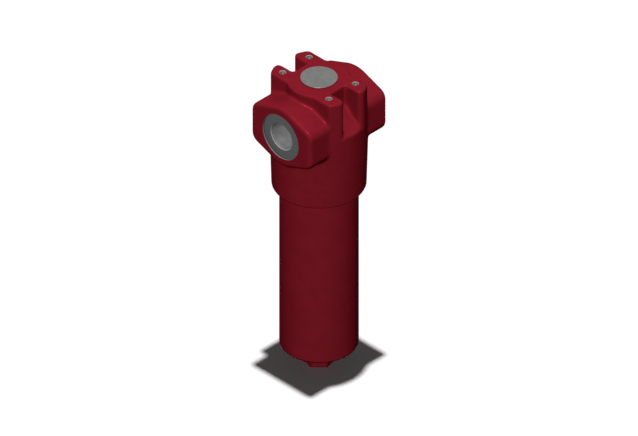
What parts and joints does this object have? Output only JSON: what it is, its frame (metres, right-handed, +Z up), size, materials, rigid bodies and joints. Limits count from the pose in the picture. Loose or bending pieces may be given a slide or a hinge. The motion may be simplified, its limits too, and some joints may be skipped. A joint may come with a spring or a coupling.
{
  "type": "hydraulic pressure filter",
  "caption": "In-line hydraulic pressure filter: cast head with two opposed threaded ports and mounting lugs, screwed cylindrical bowl, pleated element and bypass valve inside.",
  "frame": {"origin": "centre of the four mounting holes, in the plane of the lug tops", "axes": "+Z upwards out of the lug tops, along the axis of the bowl; +X along the flow, out of the outlet port; +Y towards the back pad"},
  "size_m": [0.09, 0.0844, 0.2865],
  "materials": {
    "red_cast": "satin red paint over cast iron, bare at machined faces",
    "red_steel": "satin red paint over cold-formed steel",
    "rubber": "black nitrile",
    "white_plastic": "natural PTFE",
    "zinc_steel": "zinc plated",
    "bright_steel": "turned or drawn steel",
    "wire_mesh": "woven stainless wire",
    "fleece": "glass fibre fleece",
    "resin": "cured amber resin",
    "brass": "turned",
    "copper": "soft copper washer"
  },
  "bodies": {
    "head": {"head": "red_cast", "spigot_o_ring": "rubber", "element_top_cap": "zinc_steel", "top_resin": "resin", "outer_wire_mesh": "wire_mesh", "filter_fleece": "fleece", "inner_wire_mesh": "wire_mesh", "seam_strip": "bright_steel", "support_tube": "zinc_steel", "bottom_resin": "resin", "element_bottom_cap": "zinc_steel", "bypass_seat": "brass", "bypass_spring": "bright_steel", "bypass_cage": "zinc_steel"},
    "bowl_seal": {"bowl_o_ring": "rubber", "bowl_backup_ring": "white_plastic"},
    "bowl": {"bowl": "red_steel", "drain_plug": "zinc_steel", "drain_plug_washer": "copper"},
    "bypass_poppet": {"bypass_poppet": "bright_steel"}
  },
  "joints": [
    {"name": "bowl_lower", "type": "slide", "parent": "head", "child": "bowl_seal", "axis": [0, 0, -1], "range_m": [0, 0.018]},
    {"name": "bowl_unscrew", "type": "hinge", "parent": "bowl_seal", "child": "bowl", "pos_m": [0, 0, -0.088], "axis": [0, 0, -1], "range_deg": [0, 3240]},
    {"name": "bypass_lift", "type": "slide", "parent": "head", "child": "bypass_poppet", "axis": [0, 0, 1], "range_m": [0, 0.005], "stiffness_N_per_m": 3000, "springref_m": -0.018, "deforming": ["bypass_spring"]}
  ],
  "couplings": [
    {"joint": "bowl_lower", "follows": "bowl_unscrew", "m_per_rad": 0.00031831}
  ]
}
